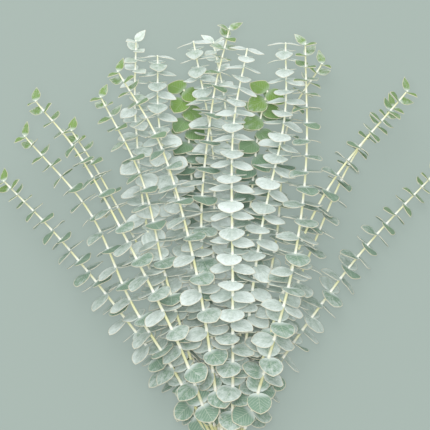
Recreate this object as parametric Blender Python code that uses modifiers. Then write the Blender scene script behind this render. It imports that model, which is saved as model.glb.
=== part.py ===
"""A tied bunch of baby blue eucalyptus branches, laid down on a table.

Metres, +Z up. The bunch lies along +Y, cut ends at -Y and leafy tips at +Y. It is modelled
round the middle of its tie and then moved, so that the origin is under the middle of the bunch,
on the table. Each branch is one solid: a square young stem with its leaves fused to it.
"""

import itertools
import math
import random
from dataclasses import dataclass, replace

import bmesh
import bpy
import numpy as np
from mathutils import Vector
from mathutils.bvhtree import BVHTree

MM = 0.001

# Stems
CUT_RADIUS = 2.3 * MM
TIP_RADIUS = 0.9 * MM
CUT_BELOW_TIE = 38 * MM
CLEARANCE = 0.3 * MM
STEM_SECTIONS = 9
SECTIONS_CLOSE_UP = 1.35
CURVE_STEPS = 16

# Tie: twine wound round the bundle, flat where it lies on the table
TWINE = 2.4 * MM
TWINE_TURNS = 4
TWINE_LAND = 0.6 * TWINE
TWINE_GROOVE = 0.3 * TWINE
TIE_SIDES = 16
INNER_RING = 6
OUTER_RING = 13
SLOT_PITCH = 2 * CUT_RADIUS + CLEARANCE
INNER_RING_RADIUS = SLOT_PITCH
OUTER_RING_RADIUS = SLOT_PITCH / (2 * math.sin(math.pi / OUTER_RING))
TIE_BORE = (OUTER_RING_RADIUS + CUT_RADIUS + CLEARANCE) / math.cos(math.pi / TIE_SIDES)
TIE_RADIUS = TIE_BORE + TWINE
TIE_HALF_WIDTH = TWINE_TURNS * TWINE / 2

# The table, below the middle of the tie
TABLE = -TIE_RADIUS * math.cos(math.pi / TIE_SIDES)

# Layers of the bunch, counted up from the table
LOWEST_LAYER = 24 * MM
LAYER_STEP = 20 * MM
FANNED_BY = 170 * MM
TIP_RISE_PER_LAYER = 8 * MM
BUNCH_LENGTH = 550 * MM
WIDEST_FAN = 30

# Leaves, in opposite pairs, each pair a quarter turn on from the last
BLADE_THICKNESS = 0.8 * MM
LEAF_LENGTH = (18 * MM, 28 * MM)
LEAF_WIDTH = (14 * MM, 33 * MM)
FULL_SIZE_PAIR = 12
FULL_GAP_PAIR = 4
TIP_GAP_SHARE = 0.65
LOW_GAP = {"silver": 30 * MM, "white": 19 * MM, "broad": 20 * MM, "green": 20 * MM}
LOW_GAP_CURVE = 2
LEAFLESS_BELOW = 82 * MM
TIP_RISE = 36
LOW_LEAF_DROOP = 22
DROOP_CURVE = 6
LEAF_ARCH = 20
FACING_PLACES = (0, 0.25, 1)
FACING_LIGHT = {
    "silver": (3, 7, 28),
    "white": (8, 14, 16),
    "broad": (10, 30, 18),
    "green": (44, 26, 18),
}
TIP_FACES_LIGHT = 26
STEM_TWIST = 1.5
SPREAD_OF_TURN = 12
SPREAD_OF_RISE = 6
SPREAD_OF_LEAN = 5
SPREAD_OF_GAP = 0.1
YOUNG_BELOW = 0.35
TOP_PAIR_BELOW_TIP = 1 * MM
KEPT_PAIRS = (0, 1, 4, 5)
PAIRS_PER_GROUP = 9
ROOT_SHARE = 0.14
ROOT_FROM_AXIS = 0.25
ROOM = 0.45 * MM
SEED = 7

# How a leaf may give way to its neighbours
TURNS_TO_TRY = (0, 10, -10, 20, -20, 32, -32, 45, -45)
RISES_TO_TRY = (0, -12, 12, -24, 24, -38, 38, 52, -52, 64)
SIZES_TO_TRY = (1.0, 0.85, 0.7)
STEEPEST = 68
STEEPEST_ON_TABLE = 75
HALVINGS = 24

SILVER = (0.56, 0.68, 0.62)
GREEN = (0.33, 0.50, 0.25)
JUTE = (0.50, 0.36, 0.20)


@dataclass
class Branch:
    """One branch: its layer, the way its tip pair is turned, and the plan points that it runs
    through, in millimetres right of and above the tie, the last of them its tip. Then the kind
    of its leaves, how far grown its tip is, and the usual gap of its pairs in millimetres."""

    layer: int
    turn: float
    through: list
    leaves: str = "silver"
    tip_size: float = 0.0
    gap: float = 17


BRANCHES = [
    Branch(1, 138, [(-55, 100), (-136, 209), (-211, 300), (-281, 372)]),
    Branch(2, 142, [(-58, 118), (-120, 219), (-172, 332), (-254, 428)], gap=22),
    Branch(3, 136, [(-34, 98), (-76, 200), (-175, 388), (-239, 471)], gap=22),
    Branch(0, 140, [(-46, 130), (-96, 257), (-162, 381), (-197, 436)], gap=22),
    Branch(2, 144, [(-34, 110), (-77, 250), (-107, 373), (-159, 477)], gap=21),
    Branch(3, 138, [(-14, 100), (-40, 262), (-81, 409), (-137, 508)], gap=22),
    Branch(1, 138, [(-30, 110), (-95, 286), (-115, 440), (-115, 548)], "broad", gap=17),
    Branch(1, 0, [(-18, 100), (-50, 290), (-84, 428), (-88, 529)], "broad", 0.4, 14.5),
    Branch(1, 10, [(-6, 100), (-18, 250), (-18, 402), (-43, 547)], "broad", 0.4, 14.5),
    Branch(0, 40, [(-12, 110), (-38, 290), (-49, 425), (-55, 487)], "green", 0.75, 16),
    Branch(2, 140, [(-10, 100), (-33, 300), (-20, 462), (2, 562)]),
    Branch(0, 42, [(-1, 100), (-1, 300), (-2, 452), (-18, 547)], "broad", gap=16),
    Branch(3, -10, [(6, 92), (6, 243), (6, 426), (24, 536)], "white", 0.35, 15.5),
    Branch(1, 30, [(10, 100), (25, 300), (38, 431), (50, 485)], "green", 0.75, 16),
    Branch(2, 0, [(14, 100), (40, 300), (70, 445), (72, 544)], "white", 0.4, 14.5),
    Branch(3, 42, [(36, 102), (78, 252), (97, 392), (96, 542)], gap=19),
    Branch(0, 45, [(22, 100), (60, 292), (75, 440), (119, 520)], gap=20),
    Branch(2, 40, [(34, 115), (82, 270), (132, 373), (224, 484)], gap=22),
    Branch(1, 36, [(34, 110), (95, 262), (153, 394), (208, 465)], gap=22),
    Branch(0, 42, [(44, 108), (126, 228), (186, 303), (261, 382)]),
]


# Stem routes

def bundle_slots():
    """Where the stems pass through the tie: one in the middle and two rings round it."""
    slots = [(0.0, 0.0)]
    for count, radius in ((INNER_RING, INNER_RING_RADIUS), (OUTER_RING, OUTER_RING_RADIUS)):
        for i in range(count):
            angle = 2 * math.pi * (i + 0.5) / count
            slots.append((radius * math.sin(angle), radius * math.cos(angle)))
    return slots


def height_above_table(layer, distance):
    """The height of a layer's stems, at a distance along the bunch from the tie."""
    return LOWEST_LAYER + layer * (LAYER_STEP + TIP_RISE_PER_LAYER * distance / BUNCH_LENGTH)


def slot_of_each_branch():
    """The slot of each branch, given out so that the stems cross as little as they can: each
    wishes to pass the tie on the side that it fans out to, and they swap while that helps."""
    wishes = []
    for branch in BRANCHES:
        x, y = branch.through[0]
        across = math.atan2(x, y) / math.radians(WIDEST_FAN)
        up = (branch.layer - 1.5) / 1.5
        wishes.append((across * OUTER_RING_RADIUS, up * OUTER_RING_RADIUS))
    chosen = bundle_slots()
    swapped = True
    while swapped:
        swapped = False
        for i, j in itertools.combinations(range(len(chosen)), 2):
            stay = math.dist(chosen[i], wishes[i]) ** 2 + math.dist(chosen[j], wishes[j]) ** 2
            swap = math.dist(chosen[j], wishes[i]) ** 2 + math.dist(chosen[i], wishes[j]) ** 2
            if swap < stay - 1e-12:
                chosen[i], chosen[j] = chosen[j], chosen[i]
                swapped = True
    return chosen


def smooth_through(points, first_tangent):
    """A cubic curve through the points, as a list of points, a few to each stretch."""
    tangents = [first_tangent * (points[1] - points[0]).length]
    for before, after in zip(points, points[2:]):
        tangents.append((after - before) / 2)
    tangents.append(points[-1] - points[-2])
    curve = [points[0]]
    for i in range(len(points) - 1):
        a, b, ta, tb = points[i], points[i + 1], tangents[i], tangents[i + 1]
        for step in range(1, CURVE_STEPS + 1):
            t = step / CURVE_STEPS
            curve.append(
                a * (2 * t**3 - 3 * t**2 + 1)
                + ta * (t**3 - 2 * t**2 + t)
                + b * (3 * t**2 - 2 * t**3)
                + tb * (t**3 - t**2)
            )
    return curve


def running_lengths(points):
    """The length run at each point of a line of points."""
    runs = [0.0]
    for a, b in zip(points, points[1:]):
        runs.append(runs[-1] + (b - a).length)
    return runs


def point_after(points, runs, run):
    """The point after a length run along a line of points, and the direction there."""
    run = min(max(run, 0.0), runs[-1])
    i = min(int(np.searchsorted(runs, run, side="right")), len(runs) - 1)
    a, b = points[i - 1], points[i]
    share = (run - runs[i - 1]) / (runs[i] - runs[i - 1])
    return a.lerp(b, share), (b - a).normalized()


class Route:
    """The middle line of one stem, read by the length run from its cut end. It is a line of
    straight stretches, shortest where the stem bends most, which its leaves grow from."""

    def __init__(self, branch, slot):
        tie_top = Vector((slot[0], TIE_HALF_WIDTH, slot[1]))
        points = [tie_top]
        for x, y in branch.through:
            distance = math.hypot(x, y) * MM
            rise = height_above_table(branch.layer, distance) + TABLE
            share = min(1.0, distance / FANNED_BY)
            share = share * share * (3 - 2 * share)
            points.append(Vector((x * MM, y * MM, slot[1] + (rise - slot[1]) * share)))
        cut_end = Vector((slot[0], -CUT_BELOW_TIE, slot[1]))
        curve = smooth_through(points, Vector((0, 1, 0)))
        curve_runs = running_lengths(curve)
        self.points = [cut_end]
        for i in range(STEM_SECTIONS + 1):
            run = curve_runs[-1] * (i / STEM_SECTIONS) ** SECTIONS_CLOSE_UP
            self.points.append(point_after(curve, curve_runs, run)[0])
        self.runs = running_lengths(self.points)
        self.length = self.runs[-1]

    def at(self, run):
        return point_after(self.points, self.runs, run)

    def radius(self, run):
        return CUT_RADIUS + (TIP_RADIUS - CUT_RADIUS) * run / self.length


# Leaves

@dataclass
class Leaf:
    """One leaf's pose: where it grows, its size, and how it is turned, raised and leant."""

    root: Vector
    along: Vector
    stem_radius: float
    lean: float
    turn: float
    rise: float
    length: float
    width: float
    young: bool


def blade_template(sections):
    """A flat blade in unit size, X from root to tip, Y across and Z through it, from places
    along it and its half width there. Where that is nothing it comes to a point. Both faces
    share one set of triangles, so that they can't cross once the blade is curved."""
    bm = bmesh.new()
    bmesh.ops.create_grid(bm, x_segments=len(sections) - 1, y_segments=1, size=1)
    bm.verts.ensure_lookup_table()
    for i, vert in enumerate(bm.verts):
        along, half_width = sections[i % len(sections)]
        side = 1 if vert.co.y > 0 else -1
        vert.co = (along, side * half_width, 0)
    bmesh.ops.remove_doubles(bm, verts=bm.verts[:], dist=0.001)
    bmesh.ops.triangulate(bm, faces=bm.faces[:])
    bmesh.ops.solidify(bm, geom=bm.faces[:] + bm.edges[:] + bm.verts[:], thickness=1)
    bmesh.ops.translate(bm, verts=bm.verts[:], vec=(0, 0, 0.5 - max(v.co.z for v in bm.verts)))
    bmesh.ops.recalc_face_normals(bm, faces=bm.faces[:])
    bm.verts.index_update()
    points = [v.co.copy() for v in bm.verts]
    faces = [[v.index for v in face.verts] for face in bm.faces]
    bm.free()
    return points, faces


ROUND_BLADE = blade_template([(0, 0), (0.45, 0.5), (0.97, 0.2)])
YOUNG_BLADE = blade_template([(0, 0), (0.42, 0.5), (1, 0)])


def leaf_axes(leaf):
    """The directions of a leaf at its root: outwards, across and up its face. The plane of the
    pair leans to the light, which comes from above the table."""
    up = Vector((0, 0, 1))
    up = (up - leaf.along * up.dot(leaf.along)).normalized()
    side = leaf.along.cross(up)
    lean = math.radians(leaf.lean)
    face = (leaf.along * math.cos(lean) + up * math.sin(lean)).normalized()
    turn = math.radians(leaf.turn)
    out = side * math.cos(turn) + up * math.sin(turn)
    out = (out - face * out.dot(face)).normalized()
    return out, face.cross(out), face


def blade_points(leaf, from_share=0.0, thickness=BLADE_THICKNESS):
    """The corners of a leaf's blade in the bunch: raised from its stem and arched to its tip."""
    out, across, face = leaf_axes(leaf)
    arch = math.radians(LEAF_ARCH)
    start = math.radians(leaf.rise)
    points, faces = YOUNG_BLADE if leaf.young else ROUND_BLADE
    placed = []
    for point in points:
        share = from_share + (1 - from_share) * point.x
        angle = start - arch * share / 2
        here = start - arch * share
        run = leaf.length * share
        start_of_blade = leaf.root + out * (ROOT_FROM_AXIS * leaf.stem_radius)
        spine = start_of_blade + (out * math.cos(angle) + face * math.sin(angle)) * run
        normal = face * math.cos(here) - out * math.sin(here)
        placed.append(spine + across * (point.y * leaf.width) + normal * (point.z * thickness))
    return placed, faces


def raised_to_table(leaf):
    """The leaf with its tip lifted until no corner is under the table, or None."""
    low, high = leaf.rise, leaf.rise + STEEPEST_ON_TABLE

    def depth(rise):
        leaf.rise = rise
        return TABLE - min(p.z for p in blade_points(leaf)[0])

    if depth(low) <= 0:
        return leaf
    if depth(high) > 0:
        return None
    for _ in range(HALVINGS):
        middle = (low + high) / 2
        if depth(middle) > 0:
            low = middle
        else:
            high = middle
    leaf.rise = high
    return leaf


def reach_of(points):
    """The middle of some points and how far they reach from it."""
    centre = sum(points, Vector()) / len(points)
    return centre, max((p - centre).length for p in points)


class Crowd:
    """The stems and blades placed so far, which a new leaf has to stay clear of."""

    def __init__(self):
        self.things = []

    def add(self, stem_name, is_stem, points, faces):
        tree = BVHTree.FromPolygons(points, faces)
        self.things.append((stem_name, is_stem, *reach_of(points), tree))

    def has_room_for(self, leaf, stem_name):
        """Whether a leaf is clear of all but its own stem. Near its root it may meet the other
        leaves of that stem, which it grows together with."""
        thickness = BLADE_THICKNESS + 2 * ROOM
        whole, faces = blade_points(leaf, 0, thickness)
        centre, reach = reach_of(whole)
        near = []
        for thing in self.things:
            if (centre - thing[2]).length < reach + thing[3]:
                near.append(thing)
        if not near:
            return True
        tree = BVHTree.FromPolygons(whole, faces)
        own_tree = BVHTree.FromPolygons(blade_points(leaf, ROOT_SHARE, thickness)[0], faces)
        for name, is_stem, _, _, other in near:
            if name == stem_name and (is_stem or not own_tree.overlap(other)):
                continue
            if name == stem_name or tree.overlap(other):
                return False
        return True


def ways_to_give():
    """How a leaf gives way in a crowd, the slightest change first: a turn round its stem, a
    different rise, and a smaller size, each as an amount."""
    ways = []
    for turned in TURNS_TO_TRY:
        for raised in RISES_TO_TRY:
            for size in SIZES_TO_TRY:
                effort = abs(turned) / 10 + abs(raised) / 12 + (1 - size) * 14
                ways.append((effort, turned, raised, size))
    return [way[1:] for way in sorted(ways)]


WAYS_TO_GIVE = ways_to_give()


def fit_in(leaf, crowd, stem_name):
    """The leaf in the first pose that is clear of the crowd, or None where it has no room."""
    for turned, raised, size in WAYS_TO_GIVE:
        tried = replace(
            leaf,
            turn=leaf.turn + turned,
            rise=leaf.rise + raised,
            length=leaf.length * size,
            width=leaf.width * size,
        )
        if abs(tried.rise) > STEEPEST or raised_to_table(tried) is None:
            continue
        if tried.rise < STEEPEST_ON_TABLE and crowd.has_room_for(tried, stem_name):
            return tried
    return None


def between(pair, share):
    """The value a share of the way from the first of a pair to the second."""
    return pair[0] + (pair[1] - pair[0]) * min(1.0, share)


def natural_pairs(branch, route, draw):
    """The leaf pairs of a branch from its tip down, as two leaves each, before they give way
    to their neighbours. Only some pairs are kept: the rest would pass the triangle limit."""
    pairs = []
    run = route.length - TOP_PAIR_BELOW_TIP
    number = 0
    while run > CUT_BELOW_TIE + LEAFLESS_BELOW:
        root, along = route.at(run)
        grown = branch.tip_size + (1 - branch.tip_size) * number / FULL_SIZE_PAIR
        down = 1 - (run - CUT_BELOW_TIE) / (route.length - CUT_BELOW_TIE)
        youth = max(0, 1 - grown / YOUNG_BELOW)
        rise = TIP_RISE * youth - LOW_LEAF_DROOP * down**DROOP_CURVE
        lean = float(np.interp(down, FACING_PLACES, FACING_LIGHT[branch.leaves]))
        lean += TIP_FACES_LIGHT * youth + draw.uniform(-1, 1) * SPREAD_OF_LEAN
        turn = branch.turn + (90 + STEM_TWIST) * number + draw.uniform(-1, 1) * SPREAD_OF_TURN
        leaves = []
        for half_turn in (0, 180):
            leaves.append(
                Leaf(
                    root=root,
                    along=along,
                    stem_radius=route.radius(run),
                    lean=lean,
                    turn=turn + half_turn,
                    rise=rise + draw.uniform(-1, 1) * SPREAD_OF_RISE,
                    length=between(LEAF_LENGTH, grown),
                    width=between(LEAF_WIDTH, grown),
                    young=grown < YOUNG_BELOW,
                )
            )
        if number % PAIRS_PER_GROUP in KEPT_PAIRS:
            pairs.append(leaves)
        gap = branch.gap * MM * between((TIP_GAP_SHARE, 1), number / FULL_GAP_PAIR)
        gap += max(0, LOW_GAP[branch.leaves] - gap) * down**LOW_GAP_CURVE
        run -= gap * (1 + draw.uniform(-1, 1) * SPREAD_OF_GAP)
        number += 1
    return pairs


# Solids

def new_collection(name, parent):
    collection = bpy.data.collections.new(name)
    parent.children.link(collection)
    return collection


def new_material(name, colour, roughness):
    material = bpy.data.materials.new(name)
    material.use_nodes = True
    shader = material.node_tree.nodes["Principled BSDF"]
    shader.inputs["Base Color"].default_value = (*colour, 1)
    shader.inputs["Roughness"].default_value = roughness
    shader.inputs["Metallic"].default_value = 0
    material.diffuse_color = (*colour, 1)
    return material


def stem_mesh(name, branch, route, extra=0.0):
    """A four-sided tapering stem, its sides turned to the leaf pairs, as a closed mesh."""
    curve = bpy.data.curves.new(name, "CURVE")
    curve.dimensions = "3D"
    curve.twist_mode = "Z_UP"
    curve.bevel_depth = 1.0
    curve.bevel_resolution = 0
    curve.use_fill_caps = True
    spline = curve.splines.new("POLY")
    spline.points.add(len(route.points) - 1)
    for point, place, run in zip(spline.points, route.points, route.runs):
        point.co = (*place, 1)
        point.radius = route.radius(run) + extra
        point.tilt = math.radians(45 + branch.turn)
    guide = bpy.data.objects.new(name + "_guide", curve)
    bpy.context.scene.collection.objects.link(guide)
    bpy.context.view_layer.update()
    graph = bpy.context.evaluated_depsgraph_get()
    mesh = bpy.data.meshes.new_from_object(guide.evaluated_get(graph))
    bpy.data.objects.remove(guide)
    bm = bmesh.new()
    bm.from_mesh(mesh)
    bmesh.ops.remove_doubles(bm, verts=bm.verts[:], dist=0.01 * MM)
    bmesh.ops.recalc_face_normals(bm, faces=bm.faces[:])
    bm.to_mesh(mesh)
    bm.free()
    mesh.name = name
    return mesh


def blade_object(name, leaf, collection):
    """A leaf's blade as an object of its own, ready to be joined to its stem."""
    points, faces = blade_points(leaf)
    mesh = bpy.data.meshes.new(name)
    mesh.from_pydata([tuple(p) for p in points], [], faces)
    bm = bmesh.new()
    bm.from_mesh(mesh)
    bmesh.ops.recalc_face_normals(bm, faces=bm.faces[:])
    bm.to_mesh(mesh)
    bm.free()
    blade = bpy.data.objects.new(name, mesh)
    collection.objects.link(blade)
    return blade


def fuse_leaves(stem, leaves, blades):
    """Joins the leaves to their stem in one solid, and removes the loose blades."""
    for i, leaf in enumerate(leaves):
        blade_object(f"{stem.name}_leaf_{i}", leaf, blades)
    union = stem.modifiers.new("Leaves", "BOOLEAN")
    union.operation = "UNION"
    union.operand_type = "COLLECTION"
    union.collection = blades
    union.solver = "MANIFOLD"
    bpy.context.view_layer.update()
    graph = bpy.context.evaluated_depsgraph_get()
    fused = bpy.data.meshes.new_from_object(stem.evaluated_get(graph))
    stem.modifiers.clear()
    stem.data = fused
    for blade in list(blades.objects):
        bpy.data.objects.remove(blade)


def make_tie(collection, material):
    """Twine wound side by side, as one turned ring with a flat land on each turn."""
    end = TIE_HALF_WIDTH - (TWINE - TWINE_LAND) / 2
    profile = [(TIE_BORE, -end), (TIE_BORE, end)]
    for turn in reversed(range(TWINE_TURNS)):
        middle = (turn + 0.5) * TWINE - TIE_HALF_WIDTH
        profile.append((TIE_RADIUS, middle + TWINE_LAND / 2))
        profile.append((TIE_RADIUS, middle - TWINE_LAND / 2))
        if turn:
            profile.append((TIE_RADIUS - TWINE_GROOVE, middle - TWINE / 2))
    bm = bmesh.new()
    verts = [bm.verts.new((x, y, 0)) for x, y in profile]
    for a, b in zip(verts, verts[1:] + verts[:1]):
        bm.edges.new((a, b))
    mesh = bpy.data.meshes.new("tie")
    bm.to_mesh(mesh)
    bm.free()
    tie = bpy.data.objects.new("tie", mesh)
    tie.data.materials.append(material)
    tie.rotation_euler.y = math.pi / TIE_SIDES
    collection.objects.link(tie)
    screw = tie.modifiers.new("Turn", "SCREW")
    screw.axis = "Y"
    screw.steps = TIE_SIDES
    screw.render_steps = TIE_SIDES
    screw.use_merge_vertices = True
    screw.merge_threshold = 0.01 * MM
    return tie


def stand_on_origin(objects):
    """Moves the bunch so that the middle of its underside is at the origin."""
    bpy.context.view_layer.update()
    graph = bpy.context.evaluated_depsgraph_get()
    corners = []
    for item in objects:
        evaluated = item.evaluated_get(graph)
        mesh = evaluated.to_mesh()
        corners.extend(evaluated.matrix_world @ v.co for v in mesh.vertices)
        evaluated.to_mesh_clear()
    low = [min(c[i] for c in corners) for i in range(3)]
    high = [max(c[i] for c in corners) for i in range(3)]
    for item in objects:
        item.location.x -= (low[0] + high[0]) / 2
        item.location.y -= (low[1] + high[1]) / 2
        item.location.z -= TABLE


def fit_all_leaves(routes):
    """The leaves of each branch, fitted among all the stems and among each other, the
    branches nearest the light first."""
    crowd = Crowd()
    for name, (branch, route) in routes.items():
        thick = stem_mesh(name + "_room", branch, route, extra=2 * ROOM)
        corners = [v.co.copy() for v in thick.vertices]
        crowd.add(name, True, corners, [list(p.vertices) for p in thick.polygons])
        bpy.data.meshes.remove(thick)
    draw = random.Random(SEED)
    planned = {name: natural_pairs(*routes[name], draw) for name in routes}
    fitted = {}
    for name in sorted(routes, key=lambda name: -routes[name][0].layer):
        fitted[name] = []
        for leaf in itertools.chain.from_iterable(planned[name]):
            leaf = fit_in(leaf, crowd, name)
            if leaf:
                fitted[name].append(leaf)
                crowd.add(name, False, *blade_points(leaf))
    return fitted


def make_bunch():
    for item in list(bpy.data.objects):
        bpy.data.objects.remove(item)
    bunch = new_collection("eucalyptus_bunch", bpy.context.scene.collection)
    blades = new_collection("loose_blades", bpy.context.scene.collection)
    blades.hide_render = True
    silver = new_material("silver_leaves", SILVER, 0.6)
    green = new_material("green_leaves", GREEN, 0.5)
    routes = {}
    for number, (branch, slot) in enumerate(zip(BRANCHES, slot_of_each_branch())):
        routes[f"leafy_stem_{number + 1:02d}"] = (branch, Route(branch, slot))
    fitted = fit_all_leaves(routes)
    objects = []
    for name, (branch, route) in routes.items():
        stem = bpy.data.objects.new(name, stem_mesh(name, branch, route))
        bunch.objects.link(stem)
        fuse_leaves(stem, fitted[name], blades)
        stem.data.materials.clear()
        stem.data.materials.append(green if branch.leaves == "green" else silver)
        objects.append(stem)
        print(name, "has", len(fitted[name]), "leaves")
    bpy.data.collections.remove(blades)
    objects.append(make_tie(bunch, new_material("jute_twine", JUTE, 0.9)))
    stand_on_origin(objects)


make_bunch()
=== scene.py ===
# %% [markdown]
# # A tied bunch of baby blue eucalyptus
#
# Twenty cut branches fan out from a twine tie and lie on a table. Each branch carries pairs of
# round, waxy leaves with no stalk. Each pair sits a quarter turn on from the last. The solid
# model already says where each branch runs, and holds four in nine of its leaf pairs. This
# lesson dresses that model with smooth stems and frosted nodes, with all of its curved leaves
# with their veins and pale rims, and with real two-ply twine.

# %% Load the solid model as a fixed frame
import itertools
import math
import random
from dataclasses import dataclass, replace

import bmesh
import bpy
import numpy as np
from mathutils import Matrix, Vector
from mathutils.bvhtree import BVHTree
from mathutils.kdtree import KDTree


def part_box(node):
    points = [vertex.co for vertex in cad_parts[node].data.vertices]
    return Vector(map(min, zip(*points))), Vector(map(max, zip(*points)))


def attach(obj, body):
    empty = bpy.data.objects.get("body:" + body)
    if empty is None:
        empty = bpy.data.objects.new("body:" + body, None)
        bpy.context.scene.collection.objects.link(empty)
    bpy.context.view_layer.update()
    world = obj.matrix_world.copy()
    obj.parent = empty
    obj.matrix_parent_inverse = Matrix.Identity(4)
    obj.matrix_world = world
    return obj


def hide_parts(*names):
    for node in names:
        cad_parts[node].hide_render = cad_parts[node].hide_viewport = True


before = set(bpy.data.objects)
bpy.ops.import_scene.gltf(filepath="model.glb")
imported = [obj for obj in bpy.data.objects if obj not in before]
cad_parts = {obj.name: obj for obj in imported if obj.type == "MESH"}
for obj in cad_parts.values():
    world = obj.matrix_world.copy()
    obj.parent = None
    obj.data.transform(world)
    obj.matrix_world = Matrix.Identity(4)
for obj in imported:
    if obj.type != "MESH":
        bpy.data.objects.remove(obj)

MM = 0.001
SCENE = bpy.context.scene
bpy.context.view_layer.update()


def new_object(name, data):
    """A new object in the scene, made of a mesh, a curve, a lamp or a camera."""
    made = bpy.data.objects.new(name, data)
    SCENE.collection.objects.link(made)
    return made



# %% [markdown]
# ## Where the tie is
#
# The solids were modelled round the middle of the tie and then moved, so that the origin is
# under the middle of the bunch. Everything here is worked out round the tie too, and moved by
# the same amount at the end. The tie's own box tells that amount.

# %% Middle of the tie
tie_low, tie_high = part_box("tie")
TIE_MIDDLE = (tie_low + tie_high) / 2
print("middle of the tie, mm:", [round(v / MM, 1) for v in TIE_MIDDLE])

# %% [markdown]
# ## The camera
#
# The bunch lies down, so the camera looks straight down on it. A long lens from far away keeps
# the near branches and the far ones at the same scale, as in the photo. The photo shows about
# 540 mm of the bunch, with the tie and the cut ends below its lower edge.

# %% Camera
FRAME_WIDTH = 537.5 * MM
CAMERA_HEIGHT = 6.0
MIDDLE_OF_LEAVES = 60 * MM
FRAME_MIDDLE = (-16 * MM, 329 * MM)
SENSOR_WIDTH = 36

camera = new_object("camera", bpy.data.cameras.new("camera"))
camera.location = (
    TIE_MIDDLE.x + FRAME_MIDDLE[0],
    TIE_MIDDLE.y + FRAME_MIDDLE[1],
    CAMERA_HEIGHT,
)
camera.data.sensor_width = SENSOR_WIDTH
camera.data.lens = SENSOR_WIDTH * (CAMERA_HEIGHT - MIDDLE_OF_LEAVES) / FRAME_WIDTH
camera.data.clip_end = 30
SCENE.camera = camera
print("lens, mm:", round(camera.data.lens))

# %% [markdown]
# ## The floor and the light
#
# A plain pale floor in a soft grey green, as behind the bunch in the photo. It glows a little,
# as a light table does, so that the gaps among the leaves stay light. The light is a bright
# even sky with three soft lamps, one overhead and two towards the tips, because the leaves face
# that way. A gentle tone curve lifts the middle tones, so the shadows stay faint.

# %% Floor
FLOOR_SIZE = 8.0
FLOOR_COLOUR = (0.088, 0.12, 0.104)
FLOOR_GLOW = (0.122, 0.163, 0.142)


def new_material(name, roughness):
    """A new material, with its node tree and its main shader."""
    material = bpy.data.materials.new(name)
    material.use_nodes = True
    shader = material.node_tree.nodes["Principled BSDF"]
    shader.inputs["Roughness"].default_value = roughness
    return material, material.node_tree, shader


floor_mesh = bpy.data.meshes.new("floor")
bm = bmesh.new()
bmesh.ops.create_grid(bm, x_segments=1, y_segments=1, size=FLOOR_SIZE / 2)
bm.to_mesh(floor_mesh)
bm.free()
floor = new_object("floor", floor_mesh)

floor_material, _, floor_shader = new_material("floor", 0.9)
floor_shader.inputs["Base Color"].default_value = (*FLOOR_COLOUR, 1)
floor_shader.inputs["Emission Color"].default_value = (*FLOOR_GLOW, 1)
floor_shader.inputs["Emission Strength"].default_value = 1
floor_mesh.materials.append(floor_material)
print("floor, m:", FLOOR_SIZE)

# %% Light
SKY_STRENGTH = 0.62
TONE_CURVE = 1.5
LAMPS = {
    "overhead": ((-0.1, 0.2, 5.0), 1.2, 122),
    "above the tips": ((-0.6, 2.4, 3.9), 3.0, 90),
    "past the tips": ((-0.8, 4.5, 1.8), 1.8, 28),
}


def soft_lamp(name, place, size, power):
    """A round lamp at a place, turned to the middle of the bunch. Its size is the width of
    the disc in metres and its power is in watts."""
    lamp = new_object(name, bpy.data.lights.new(name, "AREA"))
    lamp.data.shape = "DISK"
    lamp.data.size = size
    lamp.data.energy = power
    lamp.location = place
    lamp.rotation_euler = Vector(place).to_track_quat("Z", "Y").to_euler()


SCENE.view_settings.view_transform = "Standard"
SCENE.view_settings.gamma = TONE_CURVE
world = bpy.data.worlds.new("sky")
SCENE.world = world
world.use_nodes = True
sky = world.node_tree.nodes["Background"]
sky.inputs["Color"].default_value = (1, 1, 1, 1)
sky.inputs["Strength"].default_value = SKY_STRENGTH
for name, (place, size, power) in LAMPS.items():
    soft_lamp(name, place, size, power)
print("lamps:", len(LAMPS))

# %% [markdown]
# ## The branches
#
# A branch of this plant is long, thin and nearly straight, and bends only where it leaves the
# bundle. Each one runs through a few points on the table, given in millimetres right of the tie
# and along from it. The bunch has four layers, so a point also has a height. In the tie the
# stems lie packed in two rings round a middle one. The values are those of the solid model, so
# that the dressed stems run where the solid ones do.

# %% Sizes of the bunch
CUT_RADIUS = 2.3 * MM
TIP_RADIUS = 0.9 * MM
CUT_BELOW_TIE = 38 * MM
CLEARANCE = 0.3 * MM
STEM_SECTIONS = 9
SECTIONS_CLOSE_UP = 1.35
CURVE_STEPS = 16

TWINE = 2.4 * MM
TWINE_TURNS = 4
TIE_SIDES = 16
INNER_RING = 6
OUTER_RING = 13
SLOT_PITCH = 2 * CUT_RADIUS + CLEARANCE
INNER_RING_RADIUS = SLOT_PITCH
OUTER_RING_RADIUS = SLOT_PITCH / (2 * math.sin(math.pi / OUTER_RING))
TIE_BORE = (OUTER_RING_RADIUS + CUT_RADIUS + CLEARANCE) / math.cos(math.pi / TIE_SIDES)
TIE_RADIUS = TIE_BORE + TWINE
TIE_HALF_WIDTH = TWINE_TURNS * TWINE / 2
TABLE = -TIE_RADIUS * math.cos(math.pi / TIE_SIDES)

LOWEST_LAYER = 24 * MM
LAYER_STEP = 20 * MM
FANNED_BY = 170 * MM
TIP_RISE_PER_LAYER = 8 * MM
BUNCH_LENGTH = 550 * MM
WIDEST_FAN = 30


# %% The branches, tip last
@dataclass
class Branch:
    """One branch: its layer, the way its tip pair is turned, and the plan points that it runs
    through, in millimetres right of and above the tie, the last of them its tip. Then the kind
    of its leaves, how far grown its tip is, and the usual gap of its pairs in millimetres."""

    layer: int
    turn: float
    through: list
    leaves: str = "silver"
    tip_size: float = 0.0
    gap: float = 17


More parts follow.
